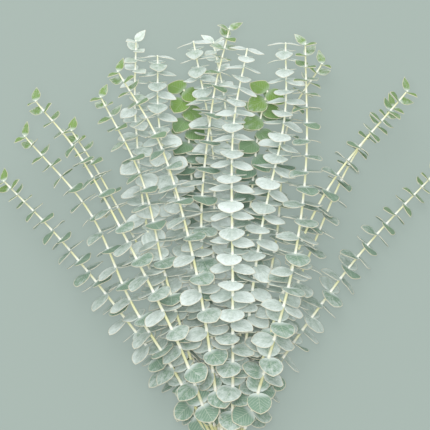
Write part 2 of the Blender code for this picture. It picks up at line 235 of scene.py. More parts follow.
BRANCHES = [
    Branch(1, 138, [(-55, 100), (-136, 209), (-211, 300), (-281, 372)]),
    Branch(2, 142, [(-58, 118), (-120, 219), (-172, 332), (-254, 428)], gap=22),
    Branch(3, 136, [(-34, 98), (-76, 200), (-175, 388), (-239, 471)], gap=22),
    Branch(0, 140, [(-46, 130), (-96, 257), (-162, 381), (-197, 436)], gap=22),
    Branch(2, 144, [(-34, 110), (-77, 250), (-107, 373), (-159, 477)], gap=21),
    Branch(3, 138, [(-14, 100), (-40, 262), (-81, 409), (-137, 508)], gap=22),
    Branch(1, 138, [(-30, 110), (-95, 286), (-115, 440), (-115, 548)], "broad", gap=17),
    Branch(1, 0, [(-18, 100), (-50, 290), (-84, 428), (-88, 529)], "broad", 0.4, 14.5),
    Branch(1, 10, [(-6, 100), (-18, 250), (-18, 402), (-43, 547)], "broad", 0.4, 14.5),
    Branch(0, 40, [(-12, 110), (-38, 290), (-49, 425), (-55, 487)], "green", 0.75, 16),
    Branch(2, 140, [(-10, 100), (-33, 300), (-20, 462), (2, 562)]),
    Branch(0, 42, [(-1, 100), (-1, 300), (-2, 452), (-18, 547)], "broad", gap=16),
    Branch(3, -10, [(6, 92), (6, 243), (6, 426), (24, 536)], "white", 0.35, 15.5),
    Branch(1, 30, [(10, 100), (25, 300), (38, 431), (50, 485)], "green", 0.75, 16),
    Branch(2, 0, [(14, 100), (40, 300), (70, 445), (72, 544)], "white", 0.4, 14.5),
    Branch(3, 42, [(36, 102), (78, 252), (97, 392), (96, 542)], gap=19),
    Branch(0, 45, [(22, 100), (60, 292), (75, 440), (119, 520)], gap=20),
    Branch(2, 40, [(34, 115), (82, 270), (132, 373), (224, 484)], gap=22),
    Branch(1, 36, [(34, 110), (95, 262), (153, 394), (208, 465)], gap=22),
    Branch(0, 42, [(44, 108), (126, 228), (186, 303), (261, 382)]),
]
print("branches:", len(BRANCHES))

# %% [markdown]
# ## From the tie to the tip
#
# A stem leaves its place in the tie straight, bends into its own direction and then runs on in
# a long easy curve. A cubic curve through the plan points does that. The solids use ten straight
# stretches of it, and the leaves grow from those, so the same stretches are worked out here.


# %% Places in the tie
def bundle_slots():
    """Where the stems pass through the tie: one in the middle and two rings round it."""
    slots = [(0.0, 0.0)]
    for count, radius in ((INNER_RING, INNER_RING_RADIUS), (OUTER_RING, OUTER_RING_RADIUS)):
        for i in range(count):
            angle = 2 * math.pi * (i + 0.5) / count
            slots.append((radius * math.sin(angle), radius * math.cos(angle)))
    return slots


def slot_of_each_branch():
    """The slot of each branch, given out so that the stems cross as little as they can: each
    wishes to pass the tie on the side that it fans out to, and they swap while that helps."""
    wishes = []
    for branch in BRANCHES:
        x, y = branch.through[0]
        across = math.atan2(x, y) / math.radians(WIDEST_FAN)
        up = (branch.layer - 1.5) / 1.5
        wishes.append((across * OUTER_RING_RADIUS, up * OUTER_RING_RADIUS))
    chosen = bundle_slots()
    swapped = True
    while swapped:
        swapped = False
        for i, j in itertools.combinations(range(len(chosen)), 2):
            stay = math.dist(chosen[i], wishes[i]) ** 2 + math.dist(chosen[j], wishes[j]) ** 2
            swap = math.dist(chosen[j], wishes[i]) ** 2 + math.dist(chosen[i], wishes[j]) ** 2
            if swap < stay - 1e-12:
                chosen[i], chosen[j] = chosen[j], chosen[i]
                swapped = True
    return chosen


# %% Curves through points
def smooth_through(points, first_tangent):
    """A cubic curve through the points, as a list of points, a few to each stretch."""
    tangents = [first_tangent * (points[1] - points[0]).length]
    for before, after in zip(points, points[2:]):
        tangents.append((after - before) / 2)
    tangents.append(points[-1] - points[-2])
    curve = [points[0]]
    for i in range(len(points) - 1):
        a, b, ta, tb = points[i], points[i + 1], tangents[i], tangents[i + 1]
        for step in range(1, CURVE_STEPS + 1):
            t = step / CURVE_STEPS
            curve.append(
                a * (2 * t**3 - 3 * t**2 + 1)
                + ta * (t**3 - 2 * t**2 + t)
                + b * (3 * t**2 - 2 * t**3)
                + tb * (t**3 - t**2)
            )
    return curve


def running_lengths(points):
    """The length run at each point of a line of points."""
    runs = [0.0]
    for a, b in zip(points, points[1:]):
        runs.append(runs[-1] + (b - a).length)
    return runs


def point_after(points, runs, run):
    """The point after a length run along a line of points, and the direction there."""
    run = min(max(run, 0.0), runs[-1])
    i = min(int(np.searchsorted(runs, run, side="right")), len(runs) - 1)
    a, b = points[i - 1], points[i]
    share = (run - runs[i - 1]) / (runs[i] - runs[i - 1])
    return a.lerp(b, share), (b - a).normalized()


# %% The route of a stem
def height_above_table(layer, distance):
    """The height of a layer's stems, at a distance along the bunch from the tie."""
    return LOWEST_LAYER + layer * (LAYER_STEP + TIP_RISE_PER_LAYER * distance / BUNCH_LENGTH)


class Route:
    """The middle line of one stem, read by the length run from its cut end: the straight
    stretches that the leaves grow from, and the smooth curve that the stem is drawn along."""

    def __init__(self, branch, slot):
        tie_top = Vector((slot[0], TIE_HALF_WIDTH, slot[1]))
        points = [tie_top]
        for x, y in branch.through:
            distance = math.hypot(x, y) * MM
            rise = height_above_table(branch.layer, distance) + TABLE
            share = min(1.0, distance / FANNED_BY)
            share = share * share * (3 - 2 * share)
            points.append(Vector((x * MM, y * MM, slot[1] + (rise - slot[1]) * share)))
        cut_end = Vector((slot[0], -CUT_BELOW_TIE, slot[1]))
        curve = smooth_through(points, Vector((0, 1, 0)))
        curve_runs = running_lengths(curve)
        self.points = [cut_end]
        for i in range(STEM_SECTIONS + 1):
            run = curve_runs[-1] * (i / STEM_SECTIONS) ** SECTIONS_CLOSE_UP
            self.points.append(point_after(curve, curve_runs, run)[0])
        self.runs = running_lengths(self.points)
        self.length = self.runs[-1]
        self.curve = [cut_end] + curve
        self.curve_runs = running_lengths(self.curve)

    def at(self, run):
        """The point on the straight stretches after a length run, and the direction there."""
        return point_after(self.points, self.runs, run)

    def on_curve(self, run):
        """The point on the smooth curve for the same length run, and the direction there."""
        scaled = run * self.curve_runs[-1] / self.length
        return point_after(self.curve, self.curve_runs, scaled)

    def radius(self, run):
        """How thick the stem is there, thinning evenly to its tip."""
        return CUT_RADIUS + (TIP_RADIUS - CUT_RADIUS) * run / self.length


ROUTES = {}
for number, (branch, slot) in enumerate(zip(BRANCHES, slot_of_each_branch())):
    ROUTES[f"leafy_stem_{number + 1:02d}"] = (branch, Route(branch, slot))
print("stem lengths, mm:", [round(route.length / MM) for _, route in ROUTES.values()])

# %% [markdown]
# ## How the leaves sit
#
# A pair of leaves stands across the stem. The pair's plane leans to the light, young leaves
# near the tip rise in a V, and old ones low down droop and show their faces. Where branches
# crowd, a leaf turns, tips or stays small to slip past its neighbours. The same rule, with the
# same seeded draws, gave the solids their leaves, so those leaves come out in the same places.

# %% Sizes of the leaves
BLADE_THICKNESS = 0.8 * MM
LEAF_LENGTH = (18 * MM, 28 * MM)
LEAF_WIDTH = (14 * MM, 33 * MM)
FULL_SIZE_PAIR = 12
FULL_GAP_PAIR = 4
TIP_GAP_SHARE = 0.65
LOW_GAP = {"silver": 30 * MM, "white": 19 * MM, "broad": 20 * MM, "green": 20 * MM}
LOW_GAP_CURVE = 2
LEAFLESS_BELOW = 82 * MM
TIP_RISE = 36
LOW_LEAF_DROOP = 22
DROOP_CURVE = 6
LEAF_ARCH = 20
FACING_PLACES = (0, 0.25, 1)
FACING_LIGHT = {
    "silver": (3, 7, 28),
    "white": (8, 14, 16),
    "broad": (10, 30, 18),
    "green": (44, 26, 18),
}
TIP_FACES_LIGHT = 26
STEM_TWIST = 1.5
SPREAD_OF_TURN = 12
SPREAD_OF_RISE = 6
SPREAD_OF_LEAN = 5
SPREAD_OF_GAP = 0.1
YOUNG_BELOW = 0.35
TOP_PAIR_BELOW_TIP = 1 * MM
KEPT_PAIRS = (0, 1, 4, 5)
PAIRS_PER_GROUP = 9
ROOT_SHARE = 0.14
ROOT_FROM_AXIS = 0.25
ROOM = 0.45 * MM
SEED = 7

TURNS_TO_TRY = (0, 10, -10, 20, -20, 32, -32, 45, -45)
RISES_TO_TRY = (0, -12, 12, -24, 24, -38, 38, 52, -52, 64)
SIZES_TO_TRY = (1.0, 0.85, 0.7)
STEEPEST = 68
STEEPEST_ON_TABLE = 75
HALVINGS = 24


# %% A leaf's pose
@dataclass
class Leaf:
    """One leaf's pose: where it grows, its size, and how it is turned, raised and leant."""

    root: Vector
    along: Vector
    stem_radius: float
    lean: float
    turn: float
    rise: float
    length: float
    width: float
    young: bool
    run: float = 0.0
    grown: float = 1.0
    in_solids: bool = True


def leaf_axes(leaf):
    """The directions of a leaf at its root: outwards, across and up its face. The plane of the
    pair leans to the light, which comes from above the table."""
    up = Vector((0, 0, 1))
    up = (up - leaf.along * up.dot(leaf.along)).normalized()
    side = leaf.along.cross(up)
    lean = math.radians(leaf.lean)
    face = (leaf.along * math.cos(lean) + up * math.sin(lean)).normalized()
    turn = math.radians(leaf.turn)
    out = side * math.cos(turn) + up * math.sin(turn)
    out = (out - face * out.dot(face)).normalized()
    return out, face.cross(out), face


# %% The plain blade that feels for room
def thicken(bm):
    """Gives a flat sheet a thickness of one, half of it on each side."""
    bmesh.ops.solidify(bm, geom=bm.faces[:] + bm.edges[:] + bm.verts[:], thickness=1)
    bmesh.ops.translate(bm, verts=bm.verts[:], vec=(0, 0, 0.5 - max(v.co.z for v in bm.verts)))


def blade_template(sections):
    """A flat blade in unit size, X from root to tip, Y across and Z through it, from places
    along it and its half width there."""
    bm = bmesh.new()
    bmesh.ops.create_grid(bm, x_segments=len(sections) - 1, y_segments=1, size=1)
    bm.verts.ensure_lookup_table()
    for i, vert in enumerate(bm.verts):
        along, half_width = sections[i % len(sections)]
        side = 1 if vert.co.y > 0 else -1
        vert.co = (along, side * half_width, 0)
    bmesh.ops.remove_doubles(bm, verts=bm.verts[:], dist=0.001)
    bmesh.ops.triangulate(bm, faces=bm.faces[:])
    thicken(bm)
    bm.verts.index_update()
    points = [v.co.copy() for v in bm.verts]
    faces = [[v.index for v in face.verts] for face in bm.faces]
    bm.free()
    return points, faces


ROUND_BLADE = blade_template([(0, 0), (0.45, 0.5), (0.97, 0.2)])
YOUNG_BLADE = blade_template([(0, 0), (0.42, 0.5), (1, 0)])


def blade_points(leaf, from_share=0.0, thickness=BLADE_THICKNESS):
    """The corners of a leaf's plain blade: raised from its stem and arched to its tip."""
    out, across, face = leaf_axes(leaf)
    arch = math.radians(LEAF_ARCH)
    start = math.radians(leaf.rise)
    points, faces = YOUNG_BLADE if leaf.young else ROUND_BLADE
    placed = []
    for point in points:
        share = from_share + (1 - from_share) * point.x
        angle = start - arch * share / 2
        here = start - arch * share
        run = leaf.length * share
        start_of_blade = leaf.root + out * (ROOT_FROM_AXIS * leaf.stem_radius)
        spine = start_of_blade + (out * math.cos(angle) + face * math.sin(angle)) * run
        normal = face * math.cos(here) - out * math.sin(here)
        placed.append(spine + across * (point.y * leaf.width) + normal * (point.z * thickness))
    return placed, faces


# %% A crowd of stems and leaves
def reach_of(points):
    """The middle of some points and how far they reach from it."""
    centre = sum(points, Vector()) / len(points)
    return centre, max((p - centre).length for p in points)


class Crowd:
    """The stems and blades placed so far, which a new leaf has to stay clear of."""

    def __init__(self):
        self.things = []

    def add(self, stem_name, is_stem, points, faces):
        tree = BVHTree.FromPolygons(points, faces)
        self.things.append((stem_name, is_stem, *reach_of(points), tree))

    def has_room_for(self, leaf, stem_name):
        """Whether a leaf is clear of all but its own stem. Near its root it may meet the other
        leaves of that stem, which it grows together with."""
        thickness = BLADE_THICKNESS + 2 * ROOM
        whole, faces = blade_points(leaf, 0, thickness)
        centre, reach = reach_of(whole)
        near = [thing for thing in self.things if (centre - thing[2]).length < reach + thing[3]]
        if not near:
            return True
        tree = BVHTree.FromPolygons(whole, faces)
        own_tree = BVHTree.FromPolygons(blade_points(leaf, ROOT_SHARE, thickness)[0], faces)
        for name, is_stem, _, _, other in near:
            if name == stem_name and (is_stem or not own_tree.overlap(other)):
                continue
            if name == stem_name or tree.overlap(other):
                return False
        return True


# %% How a leaf gives way
def ways_to_give():
    """How a leaf gives way in a crowd, the slightest change first: a turn round its stem, a
    different rise, and a smaller size, each as an amount."""
    ways = []
    for turned, raised, size in itertools.product(TURNS_TO_TRY, RISES_TO_TRY, SIZES_TO_TRY):
        effort = abs(turned) / 10 + abs(raised) / 12 + (1 - size) * 14
        ways.append((effort, turned, raised, size))
    return [way[1:] for way in sorted(ways)]


WAYS_TO_GIVE = ways_to_give()


def raised_to_table(leaf):
    """The leaf with its tip lifted until no corner is under the table, or None."""
    low, high = leaf.rise, leaf.rise + STEEPEST_ON_TABLE

    def depth(rise):
        leaf.rise = rise
        return TABLE - min(p.z for p in blade_points(leaf)[0])

    if depth(low) <= 0:
        return leaf
    if depth(high) > 0:
        return None
    for _ in range(HALVINGS):
        middle = (low + high) / 2
        if depth(middle) > 0:
            low = middle
        else:
            high = middle
    leaf.rise = high
    return leaf


def fit_in(leaf, crowd, stem_name):
    """The leaf in the first pose that is clear of the crowd, or None where it has no room."""
    for turned, raised, size in WAYS_TO_GIVE:
        tried = replace(
            leaf,
            turn=leaf.turn + turned,
            rise=leaf.rise + raised,
            length=leaf.length * size,
            width=leaf.width * size,
        )
        if abs(tried.rise) > STEEPEST or raised_to_table(tried) is None:
            continue
        if tried.rise < STEEPEST_ON_TABLE and crowd.has_room_for(tried, stem_name):
            return tried
    return None


# %% The natural pairs of a branch
def between(pair, share):
    """The value a share of the way from the first of a pair to the second."""
    return pair[0] + (pair[1] - pair[0]) * min(1.0, share)


def natural_pairs(branch, route, draw):
    """The leaves of a branch from its tip down, before they give way to their neighbours."""
    leaves = []
    run = route.length - TOP_PAIR_BELOW_TIP
    number = 0
    while run > CUT_BELOW_TIE + LEAFLESS_BELOW:
        root, along = route.at(run)
        grown = branch.tip_size + (1 - branch.tip_size) * number / FULL_SIZE_PAIR
        down = 1 - (run - CUT_BELOW_TIE) / (route.length - CUT_BELOW_TIE)
        youth = max(0, 1 - grown / YOUNG_BELOW)
        rise = TIP_RISE * youth - LOW_LEAF_DROOP * down**DROOP_CURVE
        lean = float(np.interp(down, FACING_PLACES, FACING_LIGHT[branch.leaves]))
        lean += TIP_FACES_LIGHT * youth + draw.uniform(-1, 1) * SPREAD_OF_LEAN
        turn = branch.turn + (90 + STEM_TWIST) * number
        turn += draw.uniform(-1, 1) * SPREAD_OF_TURN
        for half_turn in (0, 180):
            leaves.append(
                Leaf(
                    root=root,
                    along=along,
                    stem_radius=route.radius(run),
                    lean=lean,
                    turn=turn + half_turn,
                    rise=rise + draw.uniform(-1, 1) * SPREAD_OF_RISE,
                    length=between(LEAF_LENGTH, grown),
                    width=between(LEAF_WIDTH, grown),
                    young=grown < YOUNG_BELOW,
                    run=run,
                    grown=min(1.0, grown),
                    in_solids=number % PAIRS_PER_GROUP in KEPT_PAIRS,
                )
            )
        gap = branch.gap * MM * between((TIP_GAP_SHARE, 1), number / FULL_GAP_PAIR)
        gap += max(0, LOW_GAP[branch.leaves] - gap) * down**LOW_GAP_CURVE
        run -= gap * (1 + draw.uniform(-1, 1) * SPREAD_OF_GAP)
        number += 1
    return leaves


# %% Tubes drawn along a line
def tube_curve(name, radius, resolution):
    """A curve that draws a closed tube, with a radius that its points multiply."""
    curve = bpy.data.curves.new(name, "CURVE")
    curve.dimensions = "3D"
    curve.bevel_depth = radius
    curve.bevel_resolution = resolution
    curve.use_fill_caps = True
    return curve


def mesh_of_curve(name, curve):
    """The mesh of the tubes that a curve draws. The curve itself is removed."""
    guide = new_object(name, curve)
    bpy.context.view_layer.update()
    graph = bpy.context.evaluated_depsgraph_get()
    mesh = bpy.data.meshes.new_from_object(guide.evaluated_get(graph))
    bpy.data.objects.remove(guide)
    bpy.data.curves.remove(curve)
    return mesh


# %% Fit all the leaves, those of the solids first
def room_of_stem(name, branch, route):
    """The plain four-sided stem that leaves keep clear of, as points and faces."""
    curve = tube_curve(name, 1.0, 0)
    curve.twist_mode = "Z_UP"
    spline = curve.splines.new("POLY")
    spline.points.add(len(route.points) - 1)
    for point, place, run in zip(spline.points, route.points, route.runs):
        point.co = (*place, 1)
        point.radius = route.radius(run) + 2 * ROOM
        point.tilt = math.radians(45 + branch.turn)
    mesh = mesh_of_curve(name, curve)
    points = [v.co.copy() for v in mesh.vertices]
    faces = [list(face.vertices) for face in mesh.polygons]
    bpy.data.meshes.remove(mesh)
    return points, faces


def fit_all_leaves():
    """The leaves of each branch, fitted among all the stems and among each other."""
    crowd = Crowd()
    for name, (branch, route) in ROUTES.items():
        crowd.add(name, True, *room_of_stem(name + "_room", branch, route))
    draw = random.Random(SEED)
    planned = {name: natural_pairs(*ROUTES[name], draw) for name in ROUTES}
    nearest_light_first = sorted(ROUTES, key=lambda name: -ROUTES[name][0].layer)
    fitted = {name: [] for name in ROUTES}
    for in_solids in (True, False):
        for name in nearest_light_first:
            for leaf in planned[name]:
                if leaf.in_solids != in_solids:
                    continue
                leaf = fit_in(leaf, crowd, name)
                if leaf:
                    fitted[name].append(leaf)
                    crowd.add(name, False, *blade_points(leaf))
    return planned, fitted


PLANNED, FITTED = fit_all_leaves()
print("leaves planned:", sum(len(leaves) for leaves in PLANNED.values()))
print("leaves fitted:", sum(len(leaves) for leaves in FITTED.values()))

# %% [markdown]
# ## One real leaf
#
# The leaf is nearly a disc, wider than it is long, with a small point at the tip and a slight
# notch where it clasps the stem. It could be a flat card with a leaf drawn on it, but a card has
# no edge and no thickness. So a spoke of a few edges is spun full circle, and its rim is then
# drawn out to the leaf's outline. A thin wall makes it solid. Hundreds of copies are needed, so
# it has only 80 faces.

# %% Leaf template
LEAF_RINGS = (0, 0.62, 1)
LEAF_SECTORS = 16
LEAF_THICKNESS = 0.45 * MM
DISC_MIDDLE = 0.47
TIP_POINT = 0.07
TIP_POINT_WIDTH = 0.3
ROOT_NOTCH = 0.04
ROOT_NOTCH_WIDTH = 0.5
SLIM_FROM = 0.42
SLIM_BY = 0.55


def outline_point(t, pointed):
    """A point of a leaf's outline in unit size. The leaf is one long and one wide, with its
    root at nothing and its tip at one. The angle t is nothing at the tip. A pointed leaf
    narrows to its tip, by a share from nothing to one."""
    x = DISC_MIDDLE + 0.5 * math.cos(t)
    y = 0.5 * math.sin(t)
    x += TIP_POINT * math.exp(-abs(t) / TIP_POINT_WIDTH)
    x += ROOT_NOTCH * math.exp(-(((math.pi - abs(t)) / ROOT_NOTCH_WIDTH) ** 2))
    slim = max(0.0, x - SLIM_FROM) / (1 - SLIM_FROM)
    y *= 1 - SLIM_BY * slim * pointed
    return x, y


def leaf_template(pointed):
    """A leaf in unit size as a mesh, with its spoke share as a second value per corner."""
    bm = bmesh.new()
    spoke = [bm.verts.new((share, 0, 0)) for share in LEAF_RINGS]
    edges = [bm.edges.new(pair) for pair in zip(spoke, spoke[1:])]
    bmesh.ops.spin(
        bm,
        geom=spoke + edges,
        cent=(0, 0, 0),
        axis=(0, 0, 1),
        angle=2 * math.pi,
        steps=LEAF_SECTORS,
        use_merge=True,
    )
    bmesh.ops.remove_doubles(bm, verts=bm.verts[:], dist=0.0001)
    share_layer = bm.verts.layers.float.new("rim")
    for vert in bm.verts:
        share = vert.co.length
        x, y = outline_point(math.atan2(vert.co.y, vert.co.x), pointed)
        vert.co = (share * x, share * y, 0)
        vert[share_layer] = share
    bmesh.ops.recalc_face_normals(bm, faces=bm.faces[:])
    if sum(face.normal.z for face in bm.faces) < 0:
        bmesh.ops.reverse_faces(bm, faces=bm.faces[:])
    uv_layer = bm.loops.layers.uv.new("leaf")
    for face in bm.faces:
        for loop in face.loops:
            loop[uv_layer].uv = (loop.vert.co.x, loop.vert.co.y + 0.5)
    thicken(bm)
    mesh = bpy.data.meshes.new("leaf_template")
    bm.to_mesh(mesh)
    bm.free()
    return mesh


POINTED = {"round": 0.12, "oval": 0.5, "young": 1.0}
ROUND_FROM = 0.8
TEMPLATES = {kind: leaf_template(pointed) for kind, pointed in POINTED.items()}
print("faces of one leaf:", len(TEMPLATES["round"].polygons))


def kind_of(leaf, branch):
    """Which of the three outlines a leaf has."""
    if leaf.young:
        return "young"
    return "oval" if branch.leaves == "green" or leaf.grown < ROUND_FROM else "round"


# %% Bend a leaf into its pose
def template_arrays(template):
    """The template's corners and their share of the way from root to rim, as arrays."""
    corners = np.zeros(len(template.vertices) * 3)
    template.vertices.foreach_get("co", corners)
    rim = np.zeros(len(template.vertices))
    template.attributes["rim"].data.foreach_get("value", rim)
    return corners.reshape(-1, 3), rim


ARRAYS = {kind: template_arrays(template) for kind, template in TEMPLATES.items()}
SHARE_OF_ARCH = (0.2, 0.6)
CUP = 0.05
SHARE_OF_CUP = (-0.3, 1)
WAVE = 0.018
SHARE_OF_WAVE = (0.3, 1.2)
WAVES_ROUND_RIM = 3
TWIST = 9
HIGHER_THAN_TABLE = 0.2 * MM


def bent_leaf(leaf, kind, draw):
    """All corners of a leaf in its pose: arched, a little cupped, waved and twisted."""
    corners, rim = ARRAYS[kind]
    share, side, through = corners.T
    out, across, face = (np.array(axis) for axis in leaf_axes(leaf))
    arch = math.radians(LEAF_ARCH * draw.uniform(*SHARE_OF_ARCH))
    start = math.radians(leaf.rise - LEAF_ARCH / 2) + arch / 2
    angle = start - arch * share / 2
    here = start - arch * share
    run = (leaf.length * share)[:, None]
    spine = np.array(leaf.root) + out * (ROOT_FROM_AXIS * leaf.stem_radius)
    spine = spine + (np.outer(np.cos(angle), out) + np.outer(np.sin(angle), face)) * run
    normal = np.outer(np.cos(here), face) - np.outer(np.sin(here), out)
    twist = math.radians(draw.uniform(-TWIST, TWIST)) * share
    cup = CUP * draw.uniform(*SHARE_OF_CUP) * 4 * side**2
    wave = WAVE * draw.uniform(*SHARE_OF_WAVE) * rim**3
    round_leaf = np.arctan2(side, share - 0.45)
    wave = wave * np.sin(WAVES_ROUND_RIM * round_leaf + draw.uniform(0, 2 * math.pi))
    lift = leaf.width * (cup + wave + side * np.sin(twist)) + through * LEAF_THICKNESS
    points = spine + np.outer(side * np.cos(twist) * leaf.width, across) + normal * lift[:, None]
    points[:, 2] = np.maximum(points[:, 2], TABLE + HIGHER_THAN_TABLE)
    return points


# %% [markdown]
# ## The finish of the leaves
#
# The blue look of the leaf is a wax bloom over green. Where the bloom is thick the leaf is
# nearly white, and where the leaf is young the green shows. So each leaf holds how much bloom it
# has, and the material mixes green and bloom by that amount, mottled by soft noise. That amount
# is partly real wax and partly painted light and shade: it is highest in the middle of the
# bunch, and lower on the low leaves, on the leaves that point up and towards each leaf's root,
# as painted shade. The root is frosted, fine pale veins spread from it, and the rim is a thin
# warm line.
# The wax and the veins are node groups, because the stems are dusted with the same wax.

# %% Node helpers
def new_group(name, inputs, outputs):
    """A shader node group with named sockets. Its inputs come with their plain values, or with
    none where they take a place, and its outputs are values."""
    group = bpy.data.node_groups.new(name, "ShaderNodeTree")
    for socket, value in inputs.items():
        kind = "NodeSocketVector" if value is None else "NodeSocketFloat"
        made = group.interface.new_socket(name=socket, in_out="INPUT", socket_type=kind)
        if value is not None:
            made.default_value = value
    for socket in outputs:
        group.interface.new_socket(
            name=socket, in_out="OUTPUT", socket_type="NodeSocketFloat"
        )
    return group, group.nodes.new("NodeGroupInput"), group.nodes.new("NodeGroupOutput")


def wire(tree, source, target):
    """Gives a socket a plain value, or links another node's socket to it."""
    if isinstance(source, (int, float, tuple)):
        target.default_value = source
    else:
        tree.links.new(source, target)


def add_node(tree, kind, inputs, **settings):
    """A new node with its settings, and with plain values or other sockets at its inputs."""
    node = tree.nodes.new(kind)
    for name, value in settings.items():
        setattr(node, name, value)
    for name, source in inputs.items():
        wire(tree, source, node.inputs[name])
    return node


def math_node(tree, operation, a, b=None, clamp=False):
    """One operation on one or two values or sockets."""
    inputs = {0: a} if b is None else {0: a, 1: b}
    node = add_node(tree, "ShaderNodeMath", inputs, operation=operation, use_clamp=clamp)
    return node.outputs[0]


def times(tree, a, b):
    return math_node(tree, "MULTIPLY", a, b)


def plus(tree, a, b):
    return math_node(tree, "ADD", a, b)


def ramp_between(tree, value, low, high, to_low=0.0, to_high=1.0):
    """A soft step from one value to another, while the given value goes from low to high."""
    inputs = {"Value": value, "From Min": low, "From Max": high}
    inputs.update({"To Min": to_low, "To Max": to_high})
    node = add_node(tree, "ShaderNodeMapRange", inputs, interpolation_type="SMOOTHSTEP")
    return node.outputs["Result"]


def mix_colours(tree, share, a, b):
    """The first colour with a share of the second mixed in."""
    inputs = {"Factor": share, "A": a, "B": b}
    return add_node(tree, "ShaderNodeMix", inputs, data_type="RGBA").outputs["Result"]


def noise(tree, vector, scale, detail=2.0, roughness=0.5):
    """Soft noise at a place, from nothing to one."""
    inputs = {"Vector": vector, "Scale": scale, "Detail": detail, "Roughness": roughness}
    return add_node(tree, "ShaderNodeTexNoise", inputs).outputs["Fac"]


def attribute(tree, name):
    """The value that a mesh holds under a name."""
    return add_node(tree, "ShaderNodeAttribute", {}, attribute_name=name).outputs["Fac"]


def object_place(tree):
    """The place on the piece, in its own coordinates."""
    return tree.nodes.new("ShaderNodeTexCoord").outputs["Object"]


def add_bump(tree, shader, height, strength, distance):
    """Makes the shader's surface rise and fall with a height."""
    inputs = {"Height": height, "Strength": strength, "Distance": distance}
    bump = add_node(tree, "ShaderNodeBump", inputs)
    tree.links.new(bump.outputs["Normal"], shader.inputs["Normal"])


# %% Bloom group: how thick the wax lies
BROAD_PATCHES = 160.0
FINE_PATCHES = 700.0


def bloom_group():
    """A mottled amount of wax bloom, from an even amount and how patchy it is."""
    inputs = {"Vector": None, "Amount": 0.5, "Patchiness": 0.3}
    group, given, result = new_group("wax_bloom", inputs, ["Bloom"])
    broad = noise(group, given.outputs["Vector"], BROAD_PATCHES, 3.0, 0.65)
    fine = noise(group, given.outputs["Vector"], FINE_PATCHES, 3.0, 0.7)
    patches = plus(group, broad, times(group, fine, 0.5))
    patches = math_node(group, "SUBTRACT", patches, 0.75)
    patches = times(group, patches, given.outputs["Patchiness"])
    total = math_node(group, "ADD", given.outputs["Amount"], patches, clamp=True)
    group.links.new(total, result.inputs["Bloom"])
    return group


BLOOM = bloom_group()


# %% Vein group: lines that spread from the root
VEINS_PER_SIDE = 7


def vein_group():
    """Masks of the midrib with its side veins, of the rim, and of the soft streaks that fan
    out between the veins, from the leaf's UV map. The seed gives each leaf its own streaks."""
    inputs = {"UV": None, "Rim": 0.0, "Seed": 0.0}
    group, given, result = new_group("leaf_veins", inputs, ["Veins", "Rim", "Streaks"])
    parts = add_node(group, "ShaderNodeSeparateXYZ", {0: given.outputs["UV"]})
    along = parts.outputs["X"]
    side = math_node(group, "SUBTRACT", parts.outputs["Y"], 0.5)
    off_midrib = math_node(group, "ABSOLUTE", side)
    midrib = ramp_between(group, off_midrib, 0.004, 0.016, 1.0, 0.0)
    wobble = noise(group, given.outputs["UV"], 5.0, 2.0)
    slant = times(group, off_midrib, -0.9)
    climb = plus(group, along, slant)
    climb = plus(group, climb, times(group, wobble, 0.12))
    rows = math_node(group, "FRACT", times(group, climb, float(VEINS_PER_SIDE)))
    off_row = math_node(group, "ABSOLUTE", math_node(group, "SUBTRACT", rows, 0.5))
    side_veins = ramp_between(group, off_row, 0.03, 0.16, 0.6, 0.0)
    veins = math_node(group, "MAXIMUM", midrib, side_veins)
    fade = ramp_between(group, given.outputs["Rim"], 0.75, 1.0, 1.0, 0.25)
    group.links.new(times(group, veins, fade), result.inputs["Veins"])
    edge = ramp_between(group, given.outputs["Rim"], 0.955, 0.99)
    group.links.new(edge, result.inputs["Rim"])
    angle = math_node(group, "ARCTAN2", side, plus(group, along, 0.15))
    fan = {0: times(group, angle, 8.0), 1: times(group, along, 1.6), 2: given.outputs["Seed"]}
    fan = add_node(group, "ShaderNodeCombineXYZ", fan)
    streaks = noise(group, fan.outputs[0], 1.0, 3.0, 0.6)
    group.links.new(math_node(group, "SUBTRACT", streaks, 0.5), result.inputs["Streaks"])
    return group


VEINS = vein_group()


# %% Leaf material
def placed_group(tree, group, **inputs):
    """A group placed in a material, with its inputs wired by name."""
    return add_node(tree, "ShaderNodeGroup", inputs, node_tree=group)


def rgb(red, green, blue):
    """A colour given on a screen's scale, from 0 to 255, as the linear light a shader takes."""
    linear = []
    for value in (red, green, blue):
        value /= 255
        linear.append(value / 12.92 if value <= 0.04045 else ((value + 0.055) / 1.055) ** 2.4)
    return (*linear, 1)


BLOOM_COLOUR = rgb(230, 246, 239)
BLOOM_UNDER = rgb(225, 240, 235)
OLD_LEAF = rgb(88, 120, 99)
YOUNG_LEAF = rgb(86, 124, 42)
RIM_COLOUR = rgb(226, 216, 178)
VEIN_COLOUR = rgb(214, 228, 200)
SEEDS_OF_STREAKS = 60.0
SHARE_OF_STREAKS = 0.6
# Painted shade: more bloom towards the rim, so each leaf is darker towards its root.
PAINTED_SHADE_AT_ROOT = 0.3
LESS_UNDERNEATH = 0.12
FROSTED_ROOT = 0.3
SHARE_OF_RIM = 0.7
VEIN_DEPTH = 0.3 * MM


